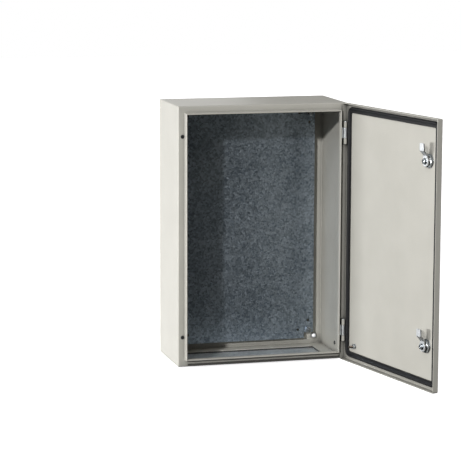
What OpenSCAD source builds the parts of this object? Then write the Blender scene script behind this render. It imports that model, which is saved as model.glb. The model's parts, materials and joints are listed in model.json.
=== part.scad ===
// Steel wall enclosure, standing with its door open.
// Row frame: origin at the centre of the four wall-fixing holes on the back face,
// +Z up, +Y into the wall, the door opening towards -Y. Millimetres.

/* [Body] */
// Width of the body and of the door
body_w = 400; // [300:10:500]
// Height of the body and of the door
body_h = 600; // [500:10:800]
// Depth from the wall to the front of the closed door
overall_d = 200; // [150:5:300]
// Sheet thickness of body, back and door
sheet = 1.5; // [1.2:0.1:1.6]
// Width of the gutter between the outer side and the lip
rim_w = 16; // [15.5:0.5:18]
// Height of the hemmed lip in front of the flange
rim_h = 14; // [13:0.5:14]
// Width of the rear return that the back panel is let into
rear_return = 12; // [8:1:12]
// Distance between the wall-fixing holes across the back
wall_fix_w = 360; // [340:5:360]
// Distance between the wall-fixing holes up the back
wall_fix_h = 560; // [540:5:560]
// Diameter of a wall-fixing hole
wall_hole_d = 8; // [7:0.5:9]

/* [Door] */
// Gap between the flange and the edge of the door's return
door_gap = 4.5; // [4:0.1:5]
// Depth of the door's return
door_return = 14; // [13.5:0.1:14]
// Angle at which the door stands open
door_open = 102.3; // [0:0.1:110]
// Distance of the hinge axis from the outer side
hinge_in = 6.5; // [6:0.1:6.5]
// Distance of the hinge axis in front of the flange
hinge_out = 9; // [9:0.1:9.3]
// Distance of each hinge's centre from the end of the body
hinge_end = 69; // [60:1:90]
// Height of the hinge block on the body
hinge_block_h = 24; // [20:1:28]

/* [Locks] */
// Distance of a lock's axis from the free edge of the door
lock_in = 47.5; // [44:0.5:50]
// Distance of a lock's axis from the end of the door
lock_end = 96; // [80:1:140]
// Diameter of the lock's bezel
bezel_d = 30; // [28:1:32]
// Reach of the cam from its axis
cam_reach = 40; // [36:1:41]
// Width of the cam's tongue
cam_w = 16; // [12:1:18]

/* [Mounting plate] */
// Width of the mounting plate
plate_w = 348; // [330:2:350]
// Height of the mounting plate
plate_h = 565; // [555:1:575]
// Thickness of the mounting plate
plate_t = 2; // [1.5:0.5:3]
// Gap behind the mounting plate
plate_gap = 15; // [12:1:20]
// Distance between the plate's studs across
stud_w = 322; // [310:2:326]
// Distance between the plate's studs up
stud_h = 523; // [500:1:525]

/* [Gland plate] */
// Width of the opening in the floor
gland_w = 334; // [250:2:336]
// Depth of the opening in the floor
gland_d = 105; // [60:5:110]
// Distance of the opening's rear edge from the wall
gland_back = 36.5; // [30:0.5:40]
// Overlap of the gland plate around the opening
gland_lap = 12; // [10:1:12]

/* [Hidden] */
$fn = 64;

paint = [0.73, 0.71, 0.66];
zinc = [0.62, 0.64, 0.66];
galvanised = [0.40, 0.43, 0.45];
black = [0.08, 0.08, 0.08];
copper = [0.55, 0.35, 0.22];

slack = 0.05;                                // radial clearance of a turning fit
cut = 1;                                     // how far a cutting tool runs past a face
bend_r = 1.5;                                // inner radius of a body fold
fold_r = bend_r + sheet;                     // outer radius of a body fold
lip_t = 2 * sheet;                           // the lip is a closed hem
door_r = 2.5;                                // outer radius of a door fold
door_front = door_gap + door_return;         // front of the door, ahead of the flange
body_d = overall_d - door_front;             // wall to the front of the flange
door_inside = door_front - sheet;            // inner face of the door, ahead of the flange
corner_r = 2;                                // ground corner between two walls

bush_r = 6.25;
bush_h = 5;
stud_r = 4;
washer_t = 1.6;
nut_t = 6.5;

gland_seal_t = 3;
gland_t = 2;
gland_screw_r = 2;
gland_head_r = 3.9;
gland_head_h = 1.9;

hinge_z = body_h / 2 - hinge_end;
flange_hole_in = 10.5;
flange_hole_d = 7;
lock_z = body_h / 2 - lock_end;
lock_x = -(body_w / 2 - lock_in);
plate_front = sheet + plate_gap + plate_t;   // front of the mounting plate, ahead of the wall

gasket_w = 14;
gasket_h = 4.5;
gasket_in = 8;                               // outer edge of the gasket from the door's edge
gasket_mid = gasket_in + gasket_w / 2;
gasket_turn = 11;                            // radius of the gasket's middle line at a corner
gasket_ease = 0.4;                           // room left around the lip in its groove
gasket_swing = 0.8;                          // more room beside the hinges, where the lip enters askew

pin_r = 2.5;
knuckle_r = 4.5;
hinge_play = 0.3;
ear_h = 13;
leaf_t = 2;
hinge_screw_r = 2.45;
screw_deep = 4.5;                            // how far a hinge screw goes into its block
notch_ease = 1.2;                            // room above and below the ears in the door's notch
notch_h = hinge_block_h + 2 * (hinge_play + ear_h + notch_ease);
notch_front = door_front - 3.5;

barrel_r = 10.9;
core_r = 7;
recess_r = 10;
barrel_back = door_inside - 9;               // rear end of the lock's barrel
recess_floor = 14;
seal_t = 1;
bezel_t = 3.5;
bezel_front = door_front + seal_t + bezel_t;
cam_t = 3;
cam_front = barrel_back - hinge_play;
tongue_front = -sheet - 0.5;                 // the tongue grips behind the flange
cam_square = 8;
cam_screw_r = 2.4;

earth_in = 47;                               // the door's earth stud from the hinge edge
earth_up = 37;                               // and from the bottom edge
earth_r = 3;
side_hole_back = 67.5;                       // hole in the right wall, behind the flange
side_hole_up = 23.3;
side_hole_r = 3.6;

// ---- Placing ----------------------------------------------------------------------------------

// Puts a closed door's piece where the open door carries it.
module on_door() {
    axis = [body_w / 2 - hinge_in, -body_d - hinge_out, 0];
    translate(axis) rotate([0, 0, door_open]) translate(-axis) children();
}

// Frame of a hinge: x inwards from the right side, y forwards from the flange, z up from its centre.
module at_hinge(z) {
    translate([body_w / 2, -body_d, z]) rotate([0, 0, 180]) children();
}

// Frame of a lock: x to the right, y up, z forwards from the flange along the lock's axis.
module at_lock(z) {
    on_door() translate([lock_x, -body_d, z]) rotate([90, 0, 0]) children();
}

// A copy in each corner of a rectangle on the XZ plane.
module corners(w, h) {
    for (x = [-w / 2, w / 2], z = [-h / 2, h / 2]) translate([x, 0, z]) children();
}

// Lays what stands on Z down along Y, its foot at the wall side.
module forwards() {
    rotate([90, 0, 0]) children();
}

module ring(r_out, r_in, h) {
    difference() {
        cylinder(r = r_out, h = h);
        translate([0, 0, -cut]) cylinder(r = r_in, h = h + 2 * cut);
    }
}

module hex_nut(flats, h, r_in) {
    difference() {
        cylinder(d = flats / cos(30), h = h, $fn = 6);
        translate([0, 0, -cut]) cylinder(r = r_in, h = h + 2 * cut);
    }
}

module rounded_rect(w, h, r) {
    square([w - 2 * r, h], center = true);
    square([w, h - 2 * r], center = true);
    for (x = [-1, 1], y = [-1, 1]) translate([x * (w / 2 - r), y * (h / 2 - r)]) circle(r);
}

// ---- Body -------------------------------------------------------------------------------------

// A quarter of a sheet fold about its centre, in the quadrant that sx and sy point to.
module fold(r_in, sx, sy) {
    r_out = r_in + sheet;
    intersection() {
        difference() {
            circle(r_out);
            circle(r_in);
        }
        translate([min(0, sx * r_out), min(0, sy * r_out)]) square(r_out);
    }
}

// Section of one wall: x inwards from the outer side, y back from the front of the flange.
module wall_section() {
    lip_root = rim_w - bend_r;
    translate([0, fold_r]) square([sheet, body_d - 2 * fold_r]);
    translate([fold_r, fold_r]) fold(bend_r, -1, -1);
    translate([fold_r, 0]) square([lip_root - fold_r, sheet]);
    translate([lip_root, -bend_r]) fold(bend_r, 1, 1);
    translate([rim_w, -rim_h + sheet]) square([sheet, rim_h - sheet - bend_r]);
    translate([rim_w + sheet, -rim_h + sheet]) square([sheet, rim_h - sheet - bend_r]);
    translate([rim_w + sheet, -rim_h + sheet]) circle(sheet);
    translate([fold_r, body_d - fold_r]) fold(bend_r, -1, 1);
    translate([fold_r, body_d - sheet]) square([rear_return - fold_r, sheet]);
}

// One wall at x = -half, mitred at both ends.
module wall(half, length) {
    mitre = rim_w + lip_t + 2;
    end = length / 2;
    intersection() {
        translate([-half, -body_d, 0]) linear_extrude(length, center = true) wall_section();
        translate([-half, cut, 0]) rotate([90, 0, 0]) linear_extrude(body_d + rim_h + 2 * cut)
            polygon([[0, -end], [mitre, mitre - end], [mitre, end - mitre], [0, end]]);
    }
}

// Frame of the hole low in the right wall: z outwards from the wall's outer face.
module at_side_hole() {
    translate([body_w / 2, -body_d + side_hole_back, -body_h / 2 + side_hole_up])
        rotate([0, 90, 0]) children();
}

module body_wrap() {
    color(paint) difference() {
        intersection() {
            union() {
                for (side = [0, 1]) mirror([side, 0, 0]) wall(body_w / 2, body_h);
                for (side = [0, 1]) mirror([0, 0, side]) rotate([0, 90, 0]) wall(body_h / 2, body_w);
            }
            translate([0, cut, 0]) forwards() linear_extrude(body_d + rim_h + 2 * cut)
                rounded_rect(body_w, body_h, corner_r);
        }
        translate([-gland_w / 2, -gland_back - gland_d, -body_h / 2 - cut])
            cube([gland_w, gland_d, sheet + 2 * cut]);
        gland_screw_places() translate([0, 0, -cut]) cylinder(r = gland_screw_r, h = sheet + 2 * cut);
        translate([0, -body_d + cut + sheet, 0]) corners(body_w - 2 * flange_hole_in, 2 * hinge_z)
            forwards() cylinder(d = flange_hole_d, h = sheet + 2 * cut);
        at_side_hole() cylinder(r = side_hole_r, h = 4 * sheet, center = true);
    }
}

module back_panel() {
    color(paint) difference() {
        forwards() linear_extrude(sheet)
            square([body_w - 2 * rear_return, body_h - 2 * rear_return], center = true);
        translate([0, cut, 0]) corners(wall_fix_w, wall_fix_h)
            forwards() cylinder(d = wall_hole_d, h = sheet + 2 * cut);
    }
}

module wall_fixing_bushes() {
    color(zinc) translate([0, -sheet, 0]) corners(wall_fix_w, wall_fix_h)
        forwards() ring(bush_r, wall_hole_d / 2, bush_h);
}

module flange_hole_plugs() {
    color(black) for (z = [-hinge_z, hinge_z]) translate([-body_w / 2 + flange_hole_in, -body_d, z]) {
        translate([0, sheet, 0]) forwards() cylinder(d = flange_hole_d - 0.1, h = sheet);
        forwards() cylinder(r1 = 4.5, r2 = 3.6, h = 1);
        translate([0, sheet + 2, 0]) forwards() cylinder(r1 = 3, r2 = 4, h = 2);
    }
}

module side_hole_plug() {
    color(black) at_side_hole() {
        translate([0, 0, -sheet]) cylinder(r = side_hole_r - 0.05, h = sheet);
        cylinder(r1 = 6.5, r2 = 5.5, h = 1.6);
        translate([0, 0, -sheet - 2]) cylinder(r1 = 3.8, r2 = 4.7, h = 2);
    }
}

// ---- Mounting plate ---------------------------------------------------------------------------

module plate_outline() {
    notch = [23, 14];
    hole_d = 6.5;
    hole_up = 22.5;                          // from a stud to the hole above or below it
    hole_along = 25;                         // and to the hole beside it
    difference() {
        square([plate_w, plate_h], center = true);
        for (x = [-1, 1], z = [-1, 1]) {
            translate([x * plate_w / 2, z * plate_h / 2]) square(2 * notch, center = true);
            translate([x * stud_w / 2, z * stud_h / 2]) circle(stud_r + 0.5);
            translate([x * stud_w / 2, z * (stud_h / 2 - hole_up)]) circle(d = hole_d);
            translate([x * (stud_w / 2 - hole_along), z * stud_h / 2]) circle(d = hole_d);
        }
    }
}

module mounting_plate() {
    color(galvanised) translate([0, -plate_front + plate_t, 0]) forwards()
        linear_extrude(plate_t) plate_outline();
}

// Everything on a plate stud, placed by its distance ahead of the wall.
module on_studs(ahead) {
    translate([0, -ahead, 0]) corners(stud_w, stud_h) forwards() children();
}

module plate_studs() {
    beyond_nut = 2.2;
    chamfer = 1;
    length = plate_gap + plate_t + washer_t + nut_t + beyond_nut;
    color(zinc) on_studs(sheet) {
        cylinder(r = stud_r, h = length);
        translate([0, 0, length]) cylinder(r1 = stud_r, r2 = stud_r - chamfer, h = chamfer);
    }
}

module plate_sleeves() {
    color(zinc) on_studs(sheet) ring(7, stud_r + 0.2, plate_gap);
}

module plate_washers() {
    color(zinc) on_studs(plate_front) ring(7.2, stud_r + 0.2, washer_t);
}

module plate_nuts() {
    color(zinc) on_studs(plate_front + washer_t) hex_nut(13, nut_t, stud_r + slack);
}

// ---- Gland plate ------------------------------------------------------------------------------

// A copy at each screw around the opening, on the underside of the floor.
module gland_screw_places() {
    row = (gland_d + gland_lap) / 2;
    translate([0, -gland_back - gland_d / 2, -body_h / 2]) {
        for (x = [-gland_w / 2 + 7, 0, gland_w / 2 - 7], y = [-row, row]) translate([x, y, 0]) children();
        for (x = [-1, 1]) translate([x * (gland_w + gland_lap) / 2, 0, 0]) children();
    }
}

module gland_blank(h) {
    translate([0, -gland_back - gland_d / 2, 0]) linear_extrude(h)
        rounded_rect(gland_w + 2 * gland_lap, gland_d + 2 * gland_lap, 4);
}

module gland_plate() {
    color(galvanised) difference() {
        translate([0, 0, -body_h / 2 - gland_seal_t - gland_t]) gland_blank(gland_t);
        gland_screw_places() translate([0, 0, -gland_seal_t - gland_t - cut]) {
            cylinder(r = gland_screw_r + 0.25, h = gland_t + 2 * cut);
            translate([0, 0, cut])
                cylinder(r1 = gland_head_r + slack, r2 = gland_screw_r + slack, h = gland_head_h);
            cylinder(r = gland_head_r + slack, h = cut);
        }
    }
}

module gland_gasket() {
    color(black) difference() {
        translate([0, 0, -body_h / 2 - gland_seal_t]) gland_blank(gland_seal_t);
        translate([-gland_w / 2, -gland_back - gland_d, -body_h / 2 - gland_seal_t - cut])
            cube([gland_w, gland_d, gland_seal_t + 2 * cut]);
        gland_screw_places() translate([0, 0, -gland_seal_t - cut])
            cylinder(r = gland_screw_r + 0.25, h = gland_seal_t + 2 * cut);
    }
}

module gland_screws() {
    color(zinc) gland_screw_places() translate([0, 0, -gland_seal_t - gland_t]) {
        cylinder(r1 = gland_head_r, r2 = gland_screw_r, h = gland_head_h);
        cylinder(r = gland_screw_r, h = gland_seal_t + gland_t + sheet);
    }
}

// ---- Hinges -----------------------------------------------------------------------------------

// Block screwed on the flange: knuckle, neck and foot, with a spigot in the flange's hole.
module hinge_block(z) {
    neck_in = hinge_in - 2;
    neck_w = 6.5;
    foot_h = 7;
    foot_end = rim_w - 0.8;                  // the foot stops short of the lip
    spigot = sheet - 0.1;
    color(zinc) at_hinge(z) difference() {
        union() {
            linear_extrude(hinge_block_h, center = true) {
                translate([hinge_in, hinge_out]) circle(knuckle_r);
                translate([neck_in, 0]) square([neck_w, hinge_out]);
                translate([neck_in, 0]) square([foot_end - neck_in, foot_h]);
            }
            translate([flange_hole_in, cut, 0]) rotate([90, 0, 0])
                cylinder(d = flange_hole_d - 0.1, h = cut + spigot);
        }
        translate([hinge_in, hinge_out, 0])
            cylinder(r = pin_r + slack, h = 2 * hinge_block_h, center = true);
        translate([flange_hole_in, screw_deep + 1, 0]) rotate([90, 0, 0])
            cylinder(r = hinge_screw_r + slack, h = 12);
    }
}

module hinge_block_upper() {
    hinge_block(hinge_z);
}

module hinge_block_lower() {
    hinge_block(-hinge_z);
}

// Hexagon screws put in from behind the flange.
module hinge_screws() {
    washer = 1;
    color(zinc) for (z = [-hinge_z, hinge_z]) at_hinge(z) translate([flange_hole_in, 0, 0]) {
        translate([0, screw_deep, 0]) rotate([90, 0, 0])
            cylinder(r = hinge_screw_r, h = screw_deep + sheet);
        translate([0, -sheet, 0]) rotate([90, 0, 0]) cylinder(r = 5.5, h = washer);
        translate([0, -sheet - washer, 0]) rotate([90, 0, 0]) cylinder(d = 8 / cos(30), h = 3.5, $fn = 6);
    }
}

// Leaf welded in the door, with an ear on each side of the block's knuckle.
module hinge_leaf(z) {
    leaf_in = 2;
    leaf_w = gasket_in - 0.4 - leaf_in;
    leaf_h = notch_h - 2 * notch_ease;
    color(paint) on_door() at_hinge(z) difference() {
        union() {
            translate([leaf_in, door_inside - leaf_t, -leaf_h / 2]) cube([leaf_w, leaf_t, leaf_h]);
            for (up = [0, 1]) mirror([0, 0, up])
                translate([0, 0, hinge_block_h / 2 + hinge_play]) linear_extrude(ear_h) {
                    translate([hinge_in, hinge_out]) circle(knuckle_r);
                    translate([leaf_in, hinge_out]) square([leaf_w, door_inside - hinge_out]);
                }
        }
        translate([hinge_in, hinge_out, 0]) cylinder(r = pin_r, h = 2 * notch_h, center = true);
    }
}

module hinge_leaf_upper() {
    hinge_leaf(hinge_z);
}

module hinge_leaf_lower() {
    hinge_leaf(-hinge_z);
}

module hinge_pin(z) {
    half = hinge_block_h / 2 + hinge_play + ear_h;
    color(zinc) on_door() at_hinge(z) translate([hinge_in, hinge_out, 0]) {
        translate([0, 0, -half - 1]) cylinder(r = pin_r, h = 2 * half + 1);
        translate([0, 0, half]) cylinder(r1 = 3.8, r2 = 3, h = 1.5);
    }
}

module hinge_pin_upper() {
    hinge_pin(hinge_z);
}

module hinge_pin_lower() {
    hinge_pin(-hinge_z);
}

// ---- Door -------------------------------------------------------------------------------------

// A block with its front edges and corners rounded: front face at y = 0, depth along +y.
module soft_block(w, h, d, r) {
    translate([0, d, 0]) forwards() linear_extrude(d - r) rounded_rect(w, h, r);
    translate([0, d, 0]) forwards() linear_extrude(d) square([w - 2 * r, h - 2 * r], center = true);
    for (z = [-1, 1]) translate([0, r, z * (h / 2 - r)])
        rotate([0, 90, 0]) cylinder(r = r, h = w - 2 * r, center = true);
    for (x = [-1, 1]) translate([x * (w / 2 - r), r, 0])
        cylinder(r = r, h = h - 2 * r, center = true);
    translate([0, r, 0]) corners(w - 2 * r, h - 2 * r) sphere(r);
}

module door_panel() {
    color(paint) on_door() difference() {
        translate([0, -overall_d, 0]) soft_block(body_w, body_h, door_return, door_r);
        translate([0, -overall_d + sheet, 0])
            soft_block(body_w - 2 * sheet, body_h - 2 * sheet, door_return, door_r - sheet);
        for (z = [-hinge_z, hinge_z]) at_hinge(z)
            translate([-cut, 0, -notch_h / 2]) cube([sheet + 2 * cut - 0.2, notch_front, notch_h]);
        for (z = [-lock_z, lock_z]) translate([lock_x, -overall_d + sheet + cut, z])
            forwards() cylinder(r = barrel_r + 0.25, h = sheet + 2 * cut);
    }
}

// Section of the foam bead: x across it from its middle line, y up from the door.
module gasket_section() {
    shoulder = 3;
    intersection() {
        translate([-gasket_w / 2, 0]) square([gasket_w, gasket_h]);
        union() {
            square([gasket_w, 2 * (gasket_h - shoulder)], center = true);
            square([gasket_w - 2 * shoulder, 2 * gasket_h], center = true);
            for (x = [-1, 1])
                translate([x * (gasket_w / 2 - shoulder), gasket_h - shoulder]) circle(shoulder);
        }
    }
}

// The bead around a rectangle on the XY plane, its section standing up along Z.
module gasket_loop(w, h) {
    for (x = [-1, 1]) translate([x * w / 2, 0, 0]) rotate([90, 0, 0])
        linear_extrude(h - 2 * gasket_turn, center = true) gasket_section();
    for (y = [-1, 1]) translate([0, y * h / 2, 0]) rotate([90, 0, 90])
        linear_extrude(w - 2 * gasket_turn, center = true) gasket_section();
    for (i = [0:3]) {
        x = (i == 0 || i == 3 ? 1 : -1) * (w / 2 - gasket_turn);
        y = (i < 2 ? 1 : -1) * (h / 2 - gasket_turn);
        translate([x, y, 0]) rotate([0, 0, 90 * i]) rotate_extrude(angle = 90)
            translate([gasket_turn, 0]) gasket_section();
    }
}

module door_gasket() {
    groove_front = door_inside - rim_h - gasket_ease;
    outer = rim_w - gasket_ease;
    inner = rim_w + lip_t + gasket_ease;
    color(black) on_door() translate([0, -body_d - door_inside, 0]) rotate([-90, 0, 0]) difference() {
        gasket_loop(body_w - 2 * gasket_mid, body_h - 2 * gasket_mid);
        difference() {
            translate([-body_w / 2 + outer, -body_h / 2 + outer, groove_front])
                cube([body_w - 2 * outer, body_h - 2 * outer, gasket_h]);
            translate([-body_w / 2 + inner, -body_h / 2 + inner, groove_front - cut])
                cube([body_w - 2 * inner - gasket_swing, body_h - 2 * inner, gasket_h + 2 * cut]);
        }
    }
}

// Frame of the door's earth stud: z rearwards from the door's inner face.
module at_earth_stud() {
    on_door() translate([body_w / 2 - earth_in, -body_d - door_inside, -body_h / 2 + earth_up])
        rotate([-90, 0, 0]) children();
}

module door_earth_stud() {
    length = 15;
    color(copper) at_earth_stud() {
        cylinder(r = earth_r, h = length);
        translate([0, 0, length]) cylinder(r1 = earth_r, r2 = earth_r - 0.7, h = 1);
    }
}

module door_earth_nut() {
    washer = 1.2;
    color(zinc) at_earth_stud() {
        ring(6, earth_r + slack, washer);
        translate([0, 0, washer]) hex_nut(10, 4.5, earth_r + slack);
    }
}

// ---- Locks ------------------------------------------------------------------------------------

module lock_housing(z) {
    chamfer = 1;
    color(zinc) at_lock(z) rotate_extrude() polygon([
        [core_r + slack, barrel_back], [barrel_r, barrel_back], [barrel_r, door_front + seal_t],
        [bezel_d / 2, door_front + seal_t], [bezel_d / 2, bezel_front - chamfer],
        [bezel_d / 2 - chamfer, bezel_front], [recess_r + chamfer, bezel_front],
        [recess_r, bezel_front - chamfer], [recess_r, recess_floor], [core_r + slack, recess_floor]]);
}

module lock_seal(z) {
    color(black) at_lock(z) translate([0, 0, door_front]) ring(bezel_d / 2 - 0.5, barrel_r + 0.1, seal_t);
}

module lock_washer(z) {
    color(zinc) at_lock(z) translate([0, 0, door_inside - 1.5]) ring(15.5, barrel_r + 0.2, 1.5);
}

module lock_nut(z) {
    color(zinc) at_lock(z) translate([0, 0, door_inside - 7]) hex_nut(27, 5.5, barrel_r + slack);
}

// Turning core: key pin with two bits in front, square seat for the cam behind.
module lock_core(z) {
    collar_back = recess_floor + 0.1;
    collar = 2;
    pin_front = bezel_front - 1;
    bit = [2.6, 10, pin_front - recess_floor - 1.2];
    seat = [cam_square, cam_square, cam_t - 0.4];
    color(zinc) at_lock(z) difference() {
        union() {
            translate([0, 0, cam_front]) cylinder(r = core_r, h = collar_back - cam_front);
            translate([0, 0, collar_back]) cylinder(r = recess_r - 0.4, h = collar);
            translate([0, 0, recess_floor + collar])
                cylinder(r = 2.7, h = pin_front - recess_floor - collar);
            translate([0, 0, pin_front - bit.z / 2]) cube(bit, center = true);
            translate([0, 0, cam_front - seat.z / 2]) cube(seat, center = true);
        }
        translate([0, 0, cam_front - cam_t]) cylinder(r = cam_screw_r + 0.1, h = 10);
    }
}

// Cranked cam: seat round the square, a slope, and a tongue that grips behind the flange.
module lock_cam(z) {
    drop = cam_front - tongue_front;
    slope_from = 13;
    slope_to = 24;
    k = cam_t / 2 * tan(atan(drop / (slope_to - slope_from)) / 2);  // keeps the slope at full thickness
    seat_r = 11;
    tip_r = 3;
    color(zinc) at_lock(z) difference() {
        intersection() {
            rotate([90, 0, 90]) linear_extrude(2 * seat_r, center = true) polygon([
                [-seat_r, cam_front], [slope_from + k, cam_front], [slope_to + k, tongue_front],
                [cam_reach, tongue_front], [cam_reach, tongue_front - cam_t],
                [slope_to - k, tongue_front - cam_t], [slope_from - k, cam_front - cam_t],
                [-seat_r, cam_front - cam_t]]);
            translate([0, 0, tongue_front - 2 * cam_t]) linear_extrude(drop + 4 * cam_t) {
                circle(seat_r);
                translate([0, cam_reach / 2]) rounded_rect(cam_w, cam_reach, tip_r);
            }
        }
        translate([0, 0, cam_front]) cube([cam_square + 0.2, cam_square + 0.2, 4 * cam_t], center = true);
    }
}

module cam_screw(z) {
    washer = 1.2;
    head = 4;
    back = cam_front - cam_t;
    color(zinc) at_lock(z) {
        translate([0, 0, back - washer]) cylinder(r = 7.5, h = washer);
        translate([0, 0, back - washer - head]) cylinder(d = 10 / cos(30), h = head, $fn = 6);
        translate([0, 0, back]) cylinder(r = cam_screw_r, h = 9);
    }
}

module lock_housing_upper() { lock_housing(lock_z); }
module lock_housing_lower() { lock_housing(-lock_z); }
module lock_seal_upper() { lock_seal(lock_z); }
module lock_seal_lower() { lock_seal(-lock_z); }
module lock_washer_upper() { lock_washer(lock_z); }
module lock_washer_lower() { lock_washer(-lock_z); }
module lock_nut_upper() { lock_nut(lock_z); }
module lock_nut_lower() { lock_nut(-lock_z); }
module lock_core_upper() { lock_core(lock_z); }
module lock_core_lower() { lock_core(-lock_z); }
module lock_cam_upper() { lock_cam(lock_z); }
module lock_cam_lower() { lock_cam(-lock_z); }
module cam_screw_upper() { cam_screw(lock_z); }
module cam_screw_lower() { cam_screw(-lock_z); }

body_wrap();
back_panel();
wall_fixing_bushes();
mounting_plate();
plate_studs();
plate_sleeves();
plate_washers();
plate_nuts();
gland_plate();
gland_gasket();
gland_screws();
flange_hole_plugs();
side_hole_plug();
hinge_block_upper();
hinge_block_lower();
hinge_screws();
door_panel();
door_gasket();
hinge_leaf_upper();
hinge_leaf_lower();
hinge_pin_upper();
hinge_pin_lower();
door_earth_stud();
door_earth_nut();
lock_housing_upper();
lock_housing_lower();
lock_seal_upper();
lock_seal_lower();
lock_washer_upper();
lock_washer_lower();
lock_nut_upper();
lock_nut_lower();
lock_core_upper();
lock_core_lower();
lock_cam_upper();
lock_cam_lower();
cam_screw_upper();
cam_screw_lower();
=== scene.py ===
# %% [markdown]
# # A sheet-steel wall enclosure, dressed for its portrait
# The cabinet is a box of folded steel with a door, a rubbery seal, two cam locks and a bare metal
# plate inside. Its shape comes ready-made from a CAD model. This lesson gives it what CAD leaves
# out: real finishes, threads, chamfers, a foamed seal, and light to see them by.

# %% Load the frame
import json
import math

import bmesh
import bpy
from mathutils import Matrix, Vector, noise


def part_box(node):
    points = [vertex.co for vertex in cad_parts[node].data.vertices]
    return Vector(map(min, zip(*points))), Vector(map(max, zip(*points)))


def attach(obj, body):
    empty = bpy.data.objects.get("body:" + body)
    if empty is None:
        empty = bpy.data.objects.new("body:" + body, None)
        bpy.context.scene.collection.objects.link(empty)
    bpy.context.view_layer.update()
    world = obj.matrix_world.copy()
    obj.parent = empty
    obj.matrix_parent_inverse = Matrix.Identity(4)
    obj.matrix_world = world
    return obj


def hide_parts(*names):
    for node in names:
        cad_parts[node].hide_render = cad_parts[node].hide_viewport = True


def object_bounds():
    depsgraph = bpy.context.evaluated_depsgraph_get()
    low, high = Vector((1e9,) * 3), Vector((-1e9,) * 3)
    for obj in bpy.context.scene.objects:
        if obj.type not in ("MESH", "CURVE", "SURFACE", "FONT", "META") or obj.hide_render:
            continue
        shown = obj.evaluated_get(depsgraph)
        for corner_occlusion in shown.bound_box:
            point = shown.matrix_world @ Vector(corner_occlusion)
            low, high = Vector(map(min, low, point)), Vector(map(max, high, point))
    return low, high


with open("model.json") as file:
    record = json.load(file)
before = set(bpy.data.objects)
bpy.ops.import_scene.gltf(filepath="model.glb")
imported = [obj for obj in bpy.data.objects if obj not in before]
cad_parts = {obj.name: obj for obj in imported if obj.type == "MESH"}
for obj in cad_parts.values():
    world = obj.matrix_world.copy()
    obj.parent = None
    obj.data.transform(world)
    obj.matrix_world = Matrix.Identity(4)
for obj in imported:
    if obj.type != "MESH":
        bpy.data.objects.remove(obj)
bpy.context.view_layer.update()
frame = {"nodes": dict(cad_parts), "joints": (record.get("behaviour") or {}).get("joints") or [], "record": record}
parts = frame["nodes"]
mm = 0.001
for plain in list(bpy.data.materials):
    bpy.data.materials.remove(plain)


# %% [markdown]
# ## The camera
# The cabinet is seen from a little to the left and a little above, with a long lens from five
# metres away, so its upright edges stay almost parallel. A camera looks along its own -Z axis:
# first it is tipped up from looking straight down, then turned about the vertical, and a last
# tiny roll about its own axis stands for a tripod that was not quite level.

# %% Camera
camera_data = bpy.data.cameras.new("camera")
camera_data.sensor_width = 36
camera_data.lens = 167.73
camera_data.clip_end = 100
camera = bpy.data.objects.new("camera", camera_data)
bpy.context.scene.collection.objects.link(camera)
tripod = (-1.3496, -4.8573, 0.7776)
turn_left, look_down, roll = math.radians(15.229), math.radians(8.969), math.radians(0.187)
camera.matrix_world = (
    Matrix.Translation(tripod)
    @ Matrix.Rotation(-turn_left, 4, "Z")
    @ Matrix.Rotation(math.pi / 2 - look_down, 4, "X")
    @ Matrix.Rotation(roll, 4, "Z")
)
bpy.context.scene.camera = camera
bpy.context.scene.view_settings.view_transform = "Standard"
print("camera stands", round(camera.location.length, 2), "m from the cabinet's back")

# %% [markdown]
# ## Helpers for materials
# Paint charts give colours as sRGB hex codes, but a renderer adds up light, so it needs linear
# values. One function converts them. A second adds any shader node, with its settings, the colour
# stops of a ramp, and its incoming links, which keeps every recipe below down to a few readable
# lines. A finish starts as a Principled shader with its typical values, and with the point on the
# object in metres, from which each pattern below gets its real size.

# %% Material helpers
def linear(hex_code):
    channels = [int(hex_code[i:i + 2], 16) / 255 for i in (1, 3, 5)]
    return [c / 12.92 if c <= 0.04045 else ((c + 0.055) / 1.055) ** 2.4 for c in channels] + [1.0]


def add(owner, kind, values=None, links=None):
    node = owner.node_tree.nodes.new(kind)
    for key, value in (values or {}).items():
        if key == "stops":
            for stop, (position, hex_code) in zip(node.color_ramp.elements, value):
                stop.position, stop.color = position, linear(hex_code)
        elif isinstance(key, int) or key in node.inputs:
            node.inputs[key].default_value = value
        else:
            setattr(node, key, value)
    for key, output in (links or {}).items():
        feed(owner, node.inputs[key], output)
    return node


def feed(owner, socket, output):
    owner.node_tree.links.new(output, socket)


def new_finish(name, values):
    material = bpy.data.materials.new(name)
    material.use_nodes = True
    shader = material.node_tree.nodes["Principled BSDF"]
    for key, value in values.items():
        shader.inputs[key].default_value = value
    place = add(material, "ShaderNodeTexCoord").outputs["Object"]
    return material, shader, place


print("pebble grey in linear light:", [round(c, 3) for c in linear("#BBB8AC")[:3]])

# %% [markdown]
# ## Powder coat
# The sheet is sprayed with dry polyester powder and baked. The powder melts into a tough skin
# that is never quite flat: it has a fine pebbled grain, and under it a slow swell called orange
# peel. The coat also draws back from a cut edge and rounds it over. So the recipe is one warm
# light grey that drifts a little, two bumps of different size, and a Bevel node that softens
# sharp edges only in how they catch the light. An Ambient Occlusion node darkens the grey in
# corners and gaps, which is painted shade: charged powder does leave the coat thin there, but
# that darkens it far less.

# %% Powder coat
powder_coat, shader, place = new_finish("powder_coat", {"Roughness": 0.42, "IOR": 1.5})
# The eye should read one even pebble grey, so the drift stays within a few percent.
drift = add(powder_coat, "ShaderNodeTexNoise", {"Scale": 1 / (70 * mm), "Detail": 3.0},
            {"Vector": place})
tone = add(powder_coat, "ShaderNodeValToRGB", {"stops": [(0.3, "#AEACA4"), (0.7, "#B3B1A9")]},
           {"Fac": drift.outputs["Fac"]})
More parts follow.
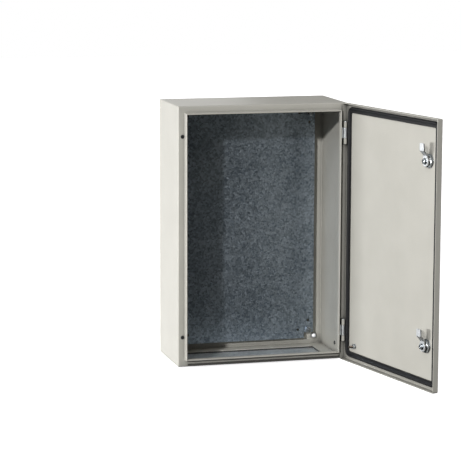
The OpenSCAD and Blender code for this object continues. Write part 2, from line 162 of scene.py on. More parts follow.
# Painted shade: the grey is darkened in gutters and corners narrower than about an inch.
corner_occlusion = add(powder_coat, "ShaderNodeAmbientOcclusion", {"samples": 8, "Distance": 24 * mm})
painted_shade_factor = add(powder_coat, "ShaderNodeMapRange", {"From Min": 0.2, "From Max": 0.76, "To Min": 0.12},
            {"Value": corner_occlusion.outputs["AO"]})
# The base colour is the drifting grey times the painted shade in corners and gaps.
shaded_coat = add(powder_coat, "ShaderNodeVectorMath", {"operation": "SCALE"},
           {"Vector": tone.outputs["Color"], "Scale": painted_shade_factor.outputs[0]})
feed(powder_coat, shader.inputs["Base Color"], shaded_coat.outputs[0])
# Real grain is about 0.8 mm. It is drawn at 2.5 mm, because finer grain would not show here.
grain = add(powder_coat, "ShaderNodeTexNoise", {"Scale": 1 / (2.5 * mm), "Detail": 2.0},
            {"Vector": place})
peel = add(powder_coat, "ShaderNodeTexNoise", {"Scale": 1 / (9 * mm), "Detail": 1.0},
           {"Vector": place})
edge = add(powder_coat, "ShaderNodeBevel", {"samples": 4, "Radius": 0.6 * mm})
swell = add(powder_coat, "ShaderNodeBump", {"Strength": 0.25, "Distance": 0.3 * mm},
            {"Height": peel.outputs["Fac"], "Normal": edge.outputs["Normal"]})
pebble = add(powder_coat, "ShaderNodeBump", {"Strength": 0.35, "Distance": 0.3 * mm},
             {"Height": grain.outputs["Fac"], "Normal": swell.outputs["Normal"]})
feed(powder_coat, shader.inputs["Normal"], pebble.outputs["Normal"])
print("powder coat:", len(powder_coat.node_tree.nodes), "nodes")

# %% [markdown]
# ## Galvanised sheet
# The mounting plate and the gland plate are bare steel, dipped in molten zinc. As the zinc sets
# it freezes into flat crystals, the spangle, and each crystal reflects light its own way. A
# Voronoi pattern gives such cells: every cell gets its own shade, roughness and a slight tilt.

# %% Galvanised sheet
def galvanised_finish(name, dark, light, smoothest, roughest):
    material, shader, place = new_finish(name, {"Metallic": 1.0})
    # Spangle is 3 to 6 mm across. Noise bends the cells, so their borders look like frost.
    wander = add(material, "ShaderNodeTexNoise", {"Scale": 1 / (5 * mm), "Detail": 4.0},
                 {"Vector": place})
    shifted = add(material, "ShaderNodeVectorMath",
                  {"operation": "MULTIPLY_ADD", 1: (5 * mm,) * 3},
                  {0: wander.outputs["Color"], 2: place})
    spangle = add(material, "ShaderNodeTexVoronoi", {"Scale": 1 / (4 * mm)},
                  {"Vector": shifted.outputs[0]})
    cell = add(material, "ShaderNodeSeparateColor", {}, {"Color": spangle.outputs["Color"]})
    # The zinc also runs a little thicker and thinner over a hand's breadth.
    run = add(material, "ShaderNodeTexNoise", {"Scale": 1 / (90 * mm), "Detail": 2.0},
              {"Vector": place})
    crystal = add(material, "ShaderNodeMath", {"operation": "ADD"},
                  {0: cell.outputs["Red"], 1: run.outputs["Fac"]})
    shade = add(material, "ShaderNodeMapRange", {"From Min": 0.5, "From Max": 1.5},
                {"Value": crystal.outputs[0]})
    tint = add(material, "ShaderNodeValToRGB", {"stops": [(0.0, dark), (1.0, light)]},
               {"Fac": shade.outputs["Result"]})
    feed(material, shader.inputs["Base Color"], tint.outputs["Color"])
    gloss = add(material, "ShaderNodeMapRange", {"To Min": smoothest, "To Max": roughest},
                {"Value": cell.outputs["Green"]})
    feed(material, shader.inputs["Roughness"], gloss.outputs["Result"])
    facet = add(material, "ShaderNodeBump", {"Strength": 0.3, "Distance": 0.4 * mm},
                {"Height": spangle.outputs["Distance"]})
    feed(material, shader.inputs["Normal"], facet.outputs["Normal"])
    return material


galvanised = galvanised_finish("galvanised_sheet", "#838F9C", "#BECAD6", 0.33, 0.45)
# The gland plate's coil was rolled lightly after dipping, so it is paler and duller.
rolled_zinc = galvanised_finish("rolled_galvanised_sheet", "#C3C7C9", "#DEE1E2", 0.45, 0.6)
print("galvanised sheet:", len(galvanised.node_tree.nodes), "nodes")

# %% [markdown]
# ## Zinc plate, dull and bright
# Cams, hinge blocks and screws are plated in a rotating barrel, where they rub on each other, so
# they come out white and dull. The nuts and studs inside are forged smooth and plated bright.
# Both are the same bluish metal, so they share one recipe: noise drives the roughness, not the
# colour, because that is how a cloudy zinc film shows.

# %% Zinc plate
def zinc_finish(name, hex_code, smoothest, roughest):
    material, shader, place = new_finish(name, {"Base Color": linear(hex_code), "Metallic": 1.0})
    cloud = add(material, "ShaderNodeTexNoise", {"Scale": 1 / (6 * mm), "Detail": 4.0},
                {"Vector": place})
    film = add(material, "ShaderNodeMapRange", {"To Min": smoothest, "To Max": roughest},
               {"Value": cloud.outputs["Fac"]})
    feed(material, shader.inputs["Roughness"], film.outputs["Result"])
    edge = add(material, "ShaderNodeBevel", {"samples": 4, "Radius": 0.4 * mm})
    # Under the plating the stamped or forged steel has small dents about 1.5 mm wide.
    dents = add(material, "ShaderNodeTexNoise", {"Scale": 1 / (1.5 * mm), "Detail": 2.0},
                {"Vector": place})
    skin = add(material, "ShaderNodeBump", {"Strength": 0.15, "Distance": 0.1 * mm},
               {"Height": dents.outputs["Fac"], "Normal": edge.outputs["Normal"]})
    feed(material, shader.inputs["Normal"], skin.outputs["Normal"])
    return material


zinc_plate = zinc_finish("zinc_plate", "#D6D9DB", 0.36, 0.54)
bright_zinc = zinc_finish("bright_zinc", "#A9AEB2", 0.14, 0.3)
# The record knows one zinc finish, and both of these are it.
bright_zinc["slot"] = "zinc_plate"
print("zinc plate:", len(zinc_plate.node_tree.nodes), "nodes, dull and bright")

# %% [markdown]
# ## Nickel-plated zinc casting
# The lock's barrel and core are die cast and tumbled before plating, so they are warmer than the
# bright nuts, softer at the edges, and faintly uneven. One fine noise serves both the gloss and
# the bump, because on a casting the same sandy skin makes both.

# %% Plated casting
casting, shader, place = new_finish("plated_zinc_casting", {
    "Base Color": linear("#8B8985"),
    "Metallic": 1.0,
})
sand = add(casting, "ShaderNodeTexNoise", {"Scale": 1 / (1.2 * mm), "Detail": 3.0},
           {"Vector": place})
satin = add(casting, "ShaderNodeMapRange", {"To Min": 0.18, "To Max": 0.3},
            {"Value": sand.outputs["Fac"]})
feed(casting, shader.inputs["Roughness"], satin.outputs["Result"])
edge = add(casting, "ShaderNodeBevel", {"samples": 4, "Radius": 0.5 * mm})
skin = add(casting, "ShaderNodeBump", {"Strength": 0.2, "Distance": 0.08 * mm},
           {"Height": sand.outputs["Fac"], "Normal": edge.outputs["Normal"]})
feed(casting, shader.inputs["Normal"], skin.outputs["Normal"])
print("plated casting:", len(casting.node_tree.nodes), "nodes")

# %% [markdown]
# ## Copper-flashed steel
# Weld studs are flashed with copper so that they weld well. The flash is thin and tarnishes
# unevenly from brown to a dull salmon, in patches about as wide as the stud's thread. Here it is
# the colour that changes, so the noise drives a ramp between the two.

# %% Copper flash
copper, shader, place = new_finish("copper_plate", {"Metallic": 1.0, "Roughness": 0.38})
tarnish = add(copper, "ShaderNodeTexNoise", {"Scale": 1 / (3 * mm), "Detail": 4.0},
              {"Vector": place})
patina = add(copper, "ShaderNodeValToRGB", {"stops": [(0.35, "#57504A"), (0.65, "#85776C")]},
             {"Fac": tarnish.outputs["Fac"]})
feed(copper, shader.inputs["Base Color"], patina.outputs["Color"])
metals = (galvanised, rolled_zinc, zinc_plate, bright_zinc, casting, copper)
print("metals:", [metal.name for metal in metals])

# %% [markdown]
# ## Foamed polyurethane
# The door's seal is poured as a liquid and foams up in place. It has a closed, satin skin, with
# small lumps where bubbles sit just below it, and pinholes where a few broke through. It is
# black, but never black to the eye: its skin always catches some light along the crown.

# %% Foam skin
foam, shader, place = new_finish("foam_seal", {"IOR": 1.5, "Specular IOR Level": 0.3})
lumps = add(foam, "ShaderNodeTexNoise", {"Scale": 1 / (4 * mm), "Detail": 3.0}, {"Vector": place})
ash = add(foam, "ShaderNodeValToRGB", {"stops": [(0.3, "#0D0E10"), (0.7, "#17181A")]},
          {"Fac": lumps.outputs["Fac"]})
feed(foam, shader.inputs["Base Color"], ash.outputs["Color"])
satin = add(foam, "ShaderNodeMapRange", {"To Min": 0.45, "To Max": 0.62},
            {"Value": lumps.outputs["Fac"]})
feed(foam, shader.inputs["Roughness"], satin.outputs["Result"])
# Pinholes are 0.3 to 0.5 mm. They are drawn 1.2 mm apart so that some of them show.
pores = add(foam, "ShaderNodeTexVoronoi", {"Scale": 1 / (1.2 * mm)}, {"Vector": place})
lumpy = add(foam, "ShaderNodeBump", {"Strength": 0.5, "Distance": 0.5 * mm},
            {"Height": lumps.outputs["Fac"]})
pitted = add(foam, "ShaderNodeBump", {"Strength": 0.25, "Distance": 0.2 * mm},
             {"Height": pores.outputs["Distance"], "Normal": lumpy.outputs["Normal"]})
feed(foam, shader.inputs["Normal"], pitted.outputs["Normal"])
print("foam skin:", len(foam.node_tree.nodes), "nodes")

# %% [markdown]
# ## Cut rubber
# Flat seals are cut from rubber sheet: dull, with talc dust left in the grain. One noise gives
# both the dust's paler patches and the shallow print of the cloth that the sheet was pressed on.

# %% Rubber
rubber, shader, place = new_finish("rubber_seal", {"Roughness": 0.75, "IOR": 1.52})
talc = add(rubber, "ShaderNodeTexNoise", {"Scale": 1 / (3 * mm), "Detail": 5.0}, {"Vector": place})
dusty = add(rubber, "ShaderNodeValToRGB", {"stops": [(0.4, "#1C1C1D"), (0.75, "#303031")]},
            {"Fac": talc.outputs["Fac"]})
feed(rubber, shader.inputs["Base Color"], dusty.outputs["Color"])
cloth = add(rubber, "ShaderNodeBump", {"Strength": 0.2, "Distance": 0.1 * mm},
            {"Height": talc.outputs["Fac"]})
feed(rubber, shader.inputs["Normal"], cloth.outputs["Normal"])
print("rubber:", len(rubber.node_tree.nodes), "nodes")

# %% [markdown]
# ## Moulded polyethylene
# The hole plugs are black polyethylene. It is smoother than rubber, with a waxy gloss that comes
# from a polished mould and wanders a little, so only the roughness gets a pattern.

# %% Plug plastic
plastic, shader, place = new_finish("plug_plastic", {"Base Color": linear("#18191A"), "IOR": 1.51})
wax = add(plastic, "ShaderNodeTexNoise", {"Scale": 1 / (2 * mm), "Detail": 2.0}, {"Vector": place})
sheen = add(plastic, "ShaderNodeMapRange", {"To Min": 0.3, "To Max": 0.42},
            {"Value": wax.outputs["Fac"]})
feed(plastic, shader.inputs["Roughness"], sheen.outputs["Result"])
edge = add(plastic, "ShaderNodeBevel", {"samples": 4, "Radius": 0.4 * mm})
feed(plastic, shader.inputs["Normal"], edge.outputs["Normal"])
print("polymers:", [m.name for m in (foam, rubber, plastic)])

# %% [markdown]
# ## Finishes on the CAD nodes
# The record says which finish each node has. Every node gets the matching material, and keeps
# its exact shape. The gland plate alone gets the paler zinc.

# %% Paint the nodes
shelf = (powder_coat, galvanised, zinc_plate, casting, copper, foam, rubber, plastic)
finishes = {material.name: material for material in shelf}
for subpart in frame["record"]["subparts"]:
    mesh = parts[subpart["node"]].data
    mesh.materials.clear()
    mesh.materials.append(finishes[subpart["material_slot"]])
parts["gland_plate"].data.materials[0] = rolled_zinc

# %% [markdown]
# ## Building pieces from rings
# Screws, nuts, washers and seals are all skins stretched over a row of rings with the same number
# of points. A washer is a few circles joined end to end, a nut mixes circles with hexagons, and
# a seal is one cross-section repeated along a path. So one builder is enough: it takes rings in
# millimetres, copies them to each place, joins neighbours with quads, and caps the two ends
# unless the last ring meets the first.

# %% The piece builder
# Round parts shade smoothly, and any edge that turns more than this stays crisp.
crisp_edge = math.radians(32)


def new_piece(name, shells, places, material, body, *nodes):
    bm = bmesh.new()
    for rings, closed in shells:
        for place in places:
            rows = [[bm.verts.new(place @ (Vector(point) * mm)) for point in ring]
                    for ring in rings]
            for row, following in zip(rows, rows[1:] + (rows[:1] if closed else [])):
                for i in range(len(row)):
                    bm.faces.new((row[i - 1], row[i], following[i], following[i - 1]))
            if not closed:
                bm.faces.new(rows[0])
                bm.faces.new(rows[-1])
    bmesh.ops.recalc_face_normals(bm, faces=bm.faces)
    mesh = bpy.data.meshes.new(name)
    bm.to_mesh(mesh)
    bm.free()
    mesh.shade_smooth()
    mesh.set_sharp_from_angle(angle=crisp_edge)
    mesh.materials.append(material)
    piece = bpy.data.objects.new(name, mesh)
    bpy.context.scene.collection.objects.link(piece)
    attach(piece, body)
    if nodes:
        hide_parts(*nodes)
    print(name, "-", len(mesh.polygons), "faces")


def circle(radius, z, steps=48):
    turns = [2 * math.pi * i / steps for i in range(steps)]
    return [(radius * math.cos(t), radius * math.sin(t), z) for t in turns]


def turned(profile, steps=48):
    return [circle(radius, z, steps) for radius, z in profile]


print("a ring has", len(circle(1, 0)), "points")

# %% [markdown]
# ## Threads
# A screw thread is a cylinder whose radius dips once per pitch, a little later at each step
# round. So a stack of rings will do, each with its dip turned on a bit. The last turn runs out
# in a taper, as on a real stud, so that a nut starts easily.

# %% Threads
def threaded(radius, pitch, bottom, top, steps=24):
    rings_per_turn, depth = 6, 0.55 * pitch
    rings = []
    rows = round((top - bottom) / pitch * rings_per_turn)
    for row in range(rows + 1):
        z = bottom + (top - bottom) * row / rows
        end_taper = radius - max(0, z - (top - pitch))
        ring = []
        for x, y, _ in circle(1, 0, steps):
            turn = math.atan2(y, x) / (2 * math.pi)
            groove = 1 - abs(2 * ((z / pitch - turn) % 1) - 1)
            r = min(radius - depth * groove, end_taper)
            ring.append((r * x, r * y, z))
        rings.append(ring)
    return rings


print("10 mm of M8 thread has", len(threaded(4, 1.25, 0, 10)), "rings")

# %% [markdown]
# ## Nuts, screw heads and washers
# A forged nut is a hexagon cut by a cone at 30 degrees at both faces, which leaves the curved
# edges that make a nut read as a nut. The cone meets the face in a circle a little narrower than
# the hexagon's flats. A screw's head is cut so on one face only, and has a shallow dish. A
# stamped washer has its edges broken by about a fifth of its thickness.

# %% Fastener shapes
cone_slope = math.tan(math.radians(30))
# The radius of the cone's circle, and of a screw head's dish, as shares of the width over flats.
face_share, dish_share = 0.475, 0.3
dish_slope, dish_depth = 0.5, 0.4


def hexagon(flats, edge_z, slope=0, steps=48):
    ring = []
    for i in range(steps):
        turn = 2 * math.pi * i / steps
        r = flats / 2 / math.cos(math.pi / 6 - turn % (math.pi / 3))
        z = edge_z + slope * (r - face_share * flats)
        ring.append((r * math.cos(turn), r * math.sin(turn), z))
    return ring


def nut(flats, bore, bottom, top):
    rim, ease = face_share * flats, 0.06 * flats
    return [
        circle(bore, bottom + ease), circle(bore + ease, bottom), circle(rim, bottom),
        hexagon(flats, bottom, cone_slope), hexagon(flats, top, -cone_slope),
        circle(rim, top), circle(bore + ease, top), circle(bore, top - ease),
    ]


def hex_head(flats, bottom, top):
    rim, dish = face_share * flats, dish_share * flats
    return [
        circle(dish, bottom), hexagon(flats, bottom), hexagon(flats, top, -cone_slope),
        circle(rim, top), circle(dish, top), circle(dish - dish_slope, top - dish_depth),
    ]


def washer(outer, inner, bottom, top):
    ease = 0.2 * (top - bottom)
    return turned([
        (inner, bottom), (outer - ease, bottom), (outer, bottom + ease), (outer, top - ease),
        (outer - ease, top), (inner + ease, top), (inner, top - ease),
    ])


print("an M8 nut has", len(nut(13, 4, 0, 6.5)), "rings")

# %% [markdown]
# ## The plate's fixings
# Four M8 studs are welded to the back. On each stud sit a sleeve, the plate's corner, a washer
# and a nut. The sleeves stay as they are. The rest is rebuilt with threads and chamfers, at the
# places that the CAD nodes give.

# %% Plate fixings
def facing_out(x, y, z):
    return Matrix.Translation((x, y, z)) @ Matrix.Rotation(math.pi / 2, 4, "X")


m8_radius, m8_pitch, m8_flats, m8_bore = 4.0, 1.25, 13, 3.75
m8_washer_outer, m8_washer_inner = 7.2, 4.2
stud_low, stud_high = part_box("plate_studs")
washer_low, washer_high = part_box("plate_washers")
stud_x, stud_z = stud_high.x - m8_radius * mm, stud_high.z - m8_radius * mm
corners = [(x, z) for x in (-stud_x, stud_x) for z in (-stud_z, stud_z)]
stud_places = [facing_out(x, stud_high.y, z) for x, z in corners]
# How far the stud's end and each front face stand out from the stud's foot.
stud_end, plate_front, washer_front, nut_front = [
    (stud_high.y - y) / mm
    for y in (stud_low.y, washer_high.y, washer_low.y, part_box("plate_nuts")[0].y)
]
m8_stud = threaded(m8_radius, m8_pitch, 0, stud_end)
m8_washer = washer(m8_washer_outer, m8_washer_inner, plate_front, washer_front)
m8_nut = nut(m8_flats, m8_bore, washer_front, nut_front)
new_piece("mounting_studs", [(m8_stud, False)], stud_places, bright_zinc, "enclosure",
          "plate_studs")
new_piece("mounting_washers", [(m8_washer, True)], stud_places, bright_zinc, "enclosure",
          "plate_washers")
new_piece("mounting_nuts", [(m8_nut, True)], stud_places, bright_zinc, "enclosure",
          "plate_nuts")
print("studs stand", round(stud_end, 1), "mm out of the back")

# %% [markdown]
# ## Measuring on an open door
# The door's pieces are easier to think about with the door shut. The hinge's joint says how far
# the door stands open, so one matrix swings a closed-door place to where it is now, and its
# inverse gives a door node's box as if the door were shut. The sheet is 1.5 mm thick, so the
# door's inside lies that far behind its front.

# %% The door's swing
sheet = 1.5
hinge = next(joint for joint in frame["joints"] if joint["name"] == "door_hinge")
pivot = Vector(hinge["pos_m"])
door_swing = (
    Matrix.Translation(pivot)
    @ Matrix.Rotation(math.radians(-hinge["range_deg"][0]), 4, "Z")
    @ Matrix.Translation(-pivot)
)


def shut_box(node):
    unswing = door_swing.inverted()
    points = [unswing @ vertex.co for vertex in parts[node].data.vertices]
    return [Vector(pick(p[i] for p in points) for i in range(3)) for pick in (min, max)]


door_low, door_high = shut_box("door_panel")
seal_low, seal_high = shut_box("door_gasket")
print("door, shut, in mm:", [round((door_high[i] - door_low[i]) / mm, 1) for i in range(3)])

# %% [markdown]
# ## The seal's section
# The bead is poured round the door in one run. It has a soft crown, and the rim's lip has pressed
# a lasting groove beside it. The section is drawn once. The lip turns its corners squarely and
# the bead doesn't, so the groove wanders across the bead there: the section's three stretches,
# before, in and after the groove, are squeezed or drawn out to where the lip really runs.

# %% Seal section
# Across the bead from its middle, inwards positive, and the height of the foam there.
seal_section = [
    (-7.0, 0.0), (-6.95, 1.0), (-6.4, 2.5), (-5.4, 3.6), (-4.0, 4.2), (-2.4, 4.25), (-1.0, 3.9),
    (0.0, 3.1), (0.6, 2.4), (2.5, 2.2), (4.4, 2.35), (5.25, 2.55), (5.6, 3.2), (6.2, 3.3),
    (6.8, 2.2), (7.0, 0.9), (6.95, 0.0),
]
seal_edge, groove_start, groove_end = 7, 0.3, 4.8
# The radius of a corner's middle line, and the lip's distance from the centre of that curve.
seal_turn, lip_line = 11, 8.5
# The groove's reach on the outer and inner side of the lip's middle.
outer_reach, inner_reach = 2.2, 2.3


def past_the_lip(across, outward):
    slant = max(abs(outward.x), abs(outward.y))
    middle = seal_turn - lip_line / slant
    before = (-seal_edge, groove_start, groove_end, seal_edge)
    after = (-seal_edge, middle - outer_reach / slant, middle + inner_reach / slant, seal_edge)
    i = 0 if across < groove_start else 1 if across < groove_end else 2
    share = (across - before[i]) / (before[i + 1] - before[i])
    return after[i] + share * (after[i + 1] - after[i])


crown = max(height for across, height in seal_section)
print("seal:", 2 * seal_edge, "mm wide, crown", crown, "mm high")

# %% [markdown]
# ## The seal's path
# The middle line is a rectangle with round corners. A point and the way outwards are noted every
# 8 mm on the straights and about every 11 degrees in the corners, close enough for the foam to
# look uneven and the corners round.

# %% Seal path
def seal_path(half_w, half_h, radius, spacing, corner_steps=8):
    path = []
    for quarter, (side, up) in enumerate([(1, 1), (-1, 1), (-1, -1), (1, -1)]):
        centre = Vector((side * (half_w - radius), up * (half_h - radius)))
        for step in range(corner_steps + 1):
            angle = math.radians(90 * quarter + 90 * step / corner_steps)
            outward = Vector((math.cos(angle), math.sin(angle)))
            path.append((centre + radius * outward, outward))
        run = 2 * ((half_w if quarter % 2 == 0 else half_h) - radius)
        along = Vector((-outward.y, outward.x))
        start = path[-1][0]
        count = round(run / spacing)
        path += [(start + along * run * i / count, outward) for i in range(1, count)]
    return path


seal_half = [((seal_high[i] - seal_low[i]) / 2 / mm - seal_edge) for i in (0, 2)]
path = seal_path(seal_half[0], seal_half[1], seal_turn, spacing=8)
print("seal path:", len(path), "sections, middle line", [round(2 * h) for h in seal_half], "mm")

# %% [markdown]
# ## Pouring the seal
# The section is carried along the path. Foam never rises evenly, so a slow wave and finer lumps
# change its height by two or three percent, and the wave its width too. Where the run ends on its
# own start, low on the door, the crown swells a little. No lump stands taller than the CAD seal.

# %% The seal
join_x, join_length, join_swell, crown_from = -60, 9, 0.25, 3
wave_length, wave_lift, mean_width, wave_width = 22, 0.02, 0.985, 0.015
lump_length, lump_lift, tallest = 6, 0.025, 4.45
rings = []
for spot, outward in path:
    on_lower_run = spot.y < -seal_half[1] + 1
    join = math.exp(-((spot.x - join_x) / join_length) ** 2) if on_lower_run else 0
    ring = []
    for across, height in seal_section:
        across = past_the_lip(across, outward)
        where = spot - outward * across
        wave = noise.noise(Vector((where.x, where.y, 0)) / wave_length)
        lump = noise.noise(Vector((where.x, where.y, 9)) / lump_length)
        lift = height * (1 + wave_lift * wave + lump_lift * lump)
        lift += join_swell * join if height > crown_from else 0
        where = spot - outward * (across * (mean_width + wave_width * wave))
        ring.append((where.x, -where.y, min(lift, tallest)))
    rings.append(ring)
door_inside = Matrix.Translation((0, door_low.y + sheet * mm, 0))
seal_place = door_swing @ door_inside @ Matrix.Rotation(-math.pi / 2, 4, "X")
new_piece("foam_seal_bead", [(rings, True)], [seal_place], foam, "door", "door_gasket")

# %% [markdown]
# ## Where the locks are
# The two locks are alike, one as far above the middle as the other is below it. So only the upper
# one is measured, on the shut door. Along a lock's own axis, lengths are in millimetres towards
# the outside of the door.

# %% Where the locks are
bezel_low, bezel_high = shut_box("lock_housing_upper")
lock_x = (bezel_low.x + bezel_high.x) / 2
lock_z = (bezel_low.z + bezel_high.z) / 2
bezel_front, barrel_back = -bezel_low.y / mm, -bezel_high.y / mm
door_front = -door_low.y / mm


def lock_place(z):
    return door_swing @ facing_out(lock_x, 0, z)


def back_and_front(node):
    low, high = shut_box(node)
    return -high.y / mm, -low.y / mm


print("locks at", round(lock_x / mm, 1), "and +-", round(lock_z / mm, 1), "mm")

# %% [markdown]
# ## The locks
# A round lock goes through the door: a bezel outside, a threaded barrel with a big flat nut
# inside, and a core that carries the cam. The barrel is turned from one profile, with a real
# thread where the nut sits, and a fine groove round the bezel.

# %% Lock pieces
barrel_pitch, thread_radius, thread_core = 1.5, 10.9, 10.15
lock_nut_flats, lock_nut_bore, lock_washer_outer, lock_washer_inner = 27, 10.6, 15.5, 11.1
thread_front = door_front - 0.5
# Radius and distance out of the door: up the barrel's outside, round the bezel, down its mouth.
bezel = turned([
    (7.05, barrel_back + 0.5), (7.6, barrel_back), (10.2, barrel_back),
    (10.2, door_front - sheet), (10.9, door_front - sheet), (10.9, door_front + 1),
    (14.4, door_front + 1), (15, door_front + 1.5), (15, bezel_front - 1.3),
    (14.2, bezel_front - 0.35), (13.4, bezel_front), (12.3, bezel_front),
    (12.0, bezel_front - 0.35), (11.7, bezel_front), (10.9, bezel_front),
    (10.2, bezel_front - 0.6), (10, bezel_front - 1.2), (10, bezel_front - 9),
    (7.05, bezel_front - 9),
], 64)
thread = threaded(thread_radius, barrel_pitch, barrel_back, thread_front, 48)
# The thread's last ring is full width, and two rings inside close it to a sleeve.
thread[-1] = circle(thread_radius, thread_front)
thread += [circle(thread_core, thread_front), circle(thread_core, barrel_back)]
big_nut = nut(lock_nut_flats, lock_nut_bore, *back_and_front("lock_nut_upper"))
big_washer = washer(lock_washer_outer, lock_washer_inner, *back_and_front("lock_washer_upper"))
lock_heights = (("upper", lock_z), ("lower", -lock_z))
for name, z in lock_heights:
    spot = [lock_place(z)]
    new_piece(f"lock_barrel_{name}", [(bezel, True)], spot, casting, "door",
              f"lock_housing_{name}")
    new_piece(f"lock_thread_{name}", [(thread, True)], spot, casting, "door",
              f"lock_housing_{name}")
    new_piece(f"barrel_nut_{name}", [(big_nut, True)], spot, bright_zinc, "door",
              f"lock_nut_{name}")
    new_piece(f"barrel_washer_{name}", [(big_washer, True)], spot, bright_zinc, "door",
              f"lock_washer_{name}")

# %% [markdown]
# ## The screws that hold the cams
# Each cam sits on a square at the core's end, held by a small hexagon screw on a washer. They
# turn with the lock, so they ride on the lock's own body. Heights are measured down from the top
# of the head, because that is the face that the CAD node gives.

# %% Cam screws
head_top = Matrix.Translation((0, 0, back_and_front("cam_screw_upper")[0] * mm))
turned_round = Matrix.Rotation(math.pi, 4, "X")
head_flats, head_foot, washer_foot, shank_end = 10, -4, -5.2, -13
shank_radius, cam_washer_outer = 2.4, 7.5
cam_bolt = [
    (washer(cam_washer_outer, shank_radius, washer_foot, head_foot), True),
    (hex_head(head_flats, head_foot, 0), False),
    ([circle(shank_radius, shank_end), circle(shank_radius, head_foot)], False),
]
for name, z in lock_heights:
    new_piece(f"cam_bolt_{name}", cam_bolt, [lock_place(z) @ head_top @ turned_round],
              bright_zinc, f"{name}_lock", f"cam_screw_{name}")

# %% [markdown]
# ## The door's earth stud
# A copper-flashed M6 stud is welded low inside the door, for the earthing strap, with a plain
# washer and a nut run down on it.

# %% Earth stud
m6_radius, m6_pitch, m6_flats, m6_bore = 3, 1, 10, 2.85
m6_washer_outer, m6_washer_inner = 6, 3.05
washer_top, nut_top = 1.2, 5.7
earth_low, earth_high = shut_box("door_earth_stud")
earth_foot = ((earth_low.x + earth_high.x) / 2, earth_low.y, (earth_low.z + earth_high.z) / 2)
earth_place = door_swing @ Matrix.Translation(earth_foot) @ Matrix.Rotation(-math.pi / 2, 4, "X")
earth_thread = threaded(m6_radius, m6_pitch, 0, (earth_high.y - earth_low.y) / mm)
new_piece("earth_stud", [(earth_thread, False)], [earth_place], copper, "door", "door_earth_stud")
earth_fixings = [
    (washer(m6_washer_outer, m6_washer_inner, 0, washer_top), True),
    (nut(m6_flats, m6_bore, washer_top, nut_top), True),
]
new_piece("earth_nut", earth_fixings, [earth_place], bright_zinc, "door", "door_earth_nut")

# %% [markdown]
# ## Lamps
# The key light comes from the front left like a low sun, hard enough to draw crisp shadows inside
# the box. A wide panel far out on the left grazes past the door's inside and lights the left
# wall. A soft lamp high in front lifts the top, and a broad sun from behind on the right keeps
# the far sides readable. A sun's strength is in watts per square metre and a panel's is in watts,
# so their numbers can't be compared.

# %% Lamps
def new_lamp(name, kind, strength, travel, position=(0, 0, 0), **settings):
    data = bpy.data.lights.new(name, kind)
    data.energy = strength
    for key, value in settings.items():
        setattr(data, key, value)
    lamp = bpy.data.objects.new(name, data)
    bpy.context.scene.collection.objects.link(lamp)
    lamp.location = position
    lamp.rotation_euler = Vector(travel).to_track_quat("-Z", "Y").to_euler()
    print("lamp:", name, "-", strength, "W" if kind == "AREA" else "W/m2")


new_lamp("key", "SUN", 2.3, (0.565, 0.753, -0.339), angle=math.radians(2.5))
new_lamp("side", "AREA", 94, (1, 0, 0), position=(-3.45, -0.1, 0.02),
         shape="RECTANGLE", size=1.0, size_y=0.4)
new_lamp("front", "AREA", 11, (0.346, 0.538, -0.769), position=(-0.9, -1.5, 2.0), size=0.5)
new_lamp("far_side", "SUN", 2.0, (-0.62, -0.7, -0.35), angle=math.radians(12))

# %% [markdown]
# ## World
# The room should look white behind the cabinet and in its metal, yet add only a little light, or
# every shadow would fill up. A Light Path node tells the two apart: rays that come straight from
# the camera, or by way of gloss or glass, get the white, and all others get the dim level.

# %% World
def looked_at(owner):
    rays = add(owner, "ShaderNodeLightPath")
    seen = rays.outputs["Is Camera Ray"]
    for way in ("Is Glossy Ray", "Is Transmission Ray"):
        seen = add(owner, "ShaderNodeMath", {"operation": "MAXIMUM"},
                   {0: seen, 1: rays.outputs[way]}).outputs[0]
    return seen


ambient, white_level = 0.13, 1.0
world = bpy.data.worlds.new("studio")
bpy.context.scene.world = world
world.use_nodes = True
level = add(world, "ShaderNodeMapRange", {"To Min": ambient, "To Max": white_level},
            {"Value": looked_at(world)})
background = world.node_tree.nodes["Background"]
background.inputs["Color"].default_value = (1, 1, 1, 1)
feed(world, background.inputs["Strength"], level.outputs["Result"])
print("world: white when looked at,", ambient, "as light")

# %% [markdown]
# ## Floor
# The cabinet stands on a wide sheet of white paper. The paper does the same as the world: it
# glows a little when it is looked at, so that it melts into the background and still takes a
# shadow, and it throws back only a grey bounce, so that the cabinet's underside stays quiet.

# %% Floor
def stage_sheet(name, quads, material, hidden_from=()):
    points = [point for quad in quads for point in quad]
    mesh = bpy.data.meshes.new(name)
    mesh.from_pydata(points, [], [(i, i + 1, i + 2, i + 3) for i in range(0, len(points), 4)])
    mesh.materials.append(material)
    sheet_piece = bpy.data.objects.new(name, mesh)
    bpy.context.scene.collection.objects.link(sheet_piece)
    for sense in hidden_from:
        setattr(sheet_piece, f"visible_{sense}", False)
    print("stage:", name, "-", len(quads), "sheets, hidden from", list(hidden_from))


paper, shader, _ = new_finish("backdrop_paper", {
    "Base Color": linear("#6A6A6A"),
    "Roughness": 0.9,
})
glow = add(paper, "ShaderNodeEmission", {"Strength": 0.8})
white = add(paper, "ShaderNodeBsdfDiffuse", {"Color": linear("#FFFFFF")})
bright = add(paper, "ShaderNodeAddShader", {}, {0: glow.outputs[0], 1: white.outputs[0]})
look = add(paper, "ShaderNodeMixShader", {},
           {0: looked_at(paper), 1: shader.outputs[0], 2: bright.outputs[0]})
feed(paper, paper.node_tree.nodes["Material Output"].inputs["Surface"], look.outputs[0])

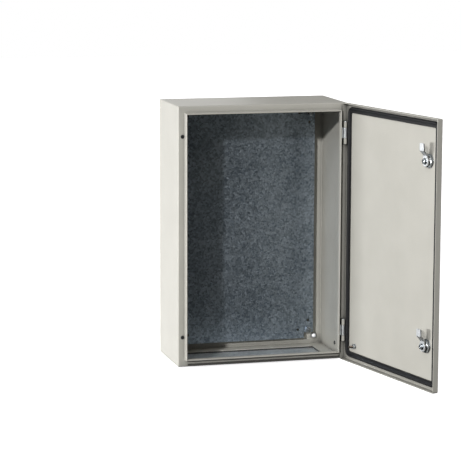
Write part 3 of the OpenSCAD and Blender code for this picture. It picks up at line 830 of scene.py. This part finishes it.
floor_z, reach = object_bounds()[0][2], 9
floor_corners = ((-reach, -reach), (reach, -reach), (reach, reach), (-reach, reach))
stage_sheet("studio_floor", [[(x, y, floor_z) for x, y in floor_corners]], paper)
print("floor at", round(floor_z / mm), "mm")

# %% [markdown]
# ## Black cards for the bare metal
# Bare zinc shows whatever stands in front of it, and in an all-white room it would look like
# white paper. So studios hang black cards out of view, which only the metal sees. Here one stands
# before the cabinet and folds along the floor towards its foot, and another hangs behind it on
# the right. They take part in reflections alone: they throw no shadow and the camera looks
# through them.

# %% Black cards
felt = new_finish("black_felt", {"Base Color": linear("#0A0A0A"), "Roughness": 1.0})[0]
left, right, top, fold = -1.1, 1.5, 1.3, floor_z + 2 * mm
stand_y, foot_y = -1.3, -0.2
far_left, far_right, far_foot, far_top, far_y = 0.35, 2.2, 0.3, 1.6, 1.2
cards = [
    [(left, stand_y, top), (right, stand_y, top), (right, stand_y, fold), (left, stand_y, fold)],
    [(left, stand_y, fold), (right, stand_y, fold), (right, foot_y, fold), (left, foot_y, fold)],
    [(far_left, far_y, far_foot), (far_right, far_y, far_foot), (far_right, far_y, far_top),
     (far_left, far_y, far_top)],
]
stage_sheet("black_card", cards, felt,
            ("camera", "diffuse", "transmission", "volume_scatter", "shadow"))

# %% [markdown]
# ## A net for the lower edge
# In the gutter under the opening stands a low strip of thin net that holds back a little of the
# light. Studios call it a scrim. It keeps the cabinet's foot quiet, so that the eye goes to the
# inside. It isn't seen itself, neither directly nor in the metal, and the closed door covers it.

# %% Net
net = new_finish("black_net", {})[0]
gaps = add(net, "ShaderNodeBsdfTransparent", {"Color": linear("#E8E8E8")})
feed(net, net.node_tree.nodes["Material Output"].inputs["Surface"], gaps.outputs[0])
rim_low, rim_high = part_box("body_wrap")
net_left, net_right, net_y = rim_low.x + 23 * mm, rim_high.x - 4 * mm, rim_low.y + 12.5 * mm
net_foot, net_top = rim_low.z, rim_low.z + 7 * mm
net_strip = [
    (net_left, net_y, net_foot), (net_right, net_y, net_foot),
    (net_right, net_y, net_top), (net_left, net_y, net_top),
]
stage_sheet("lower_net", [net_strip], net, ("camera", "glossy", "transmission", "volume_scatter"))
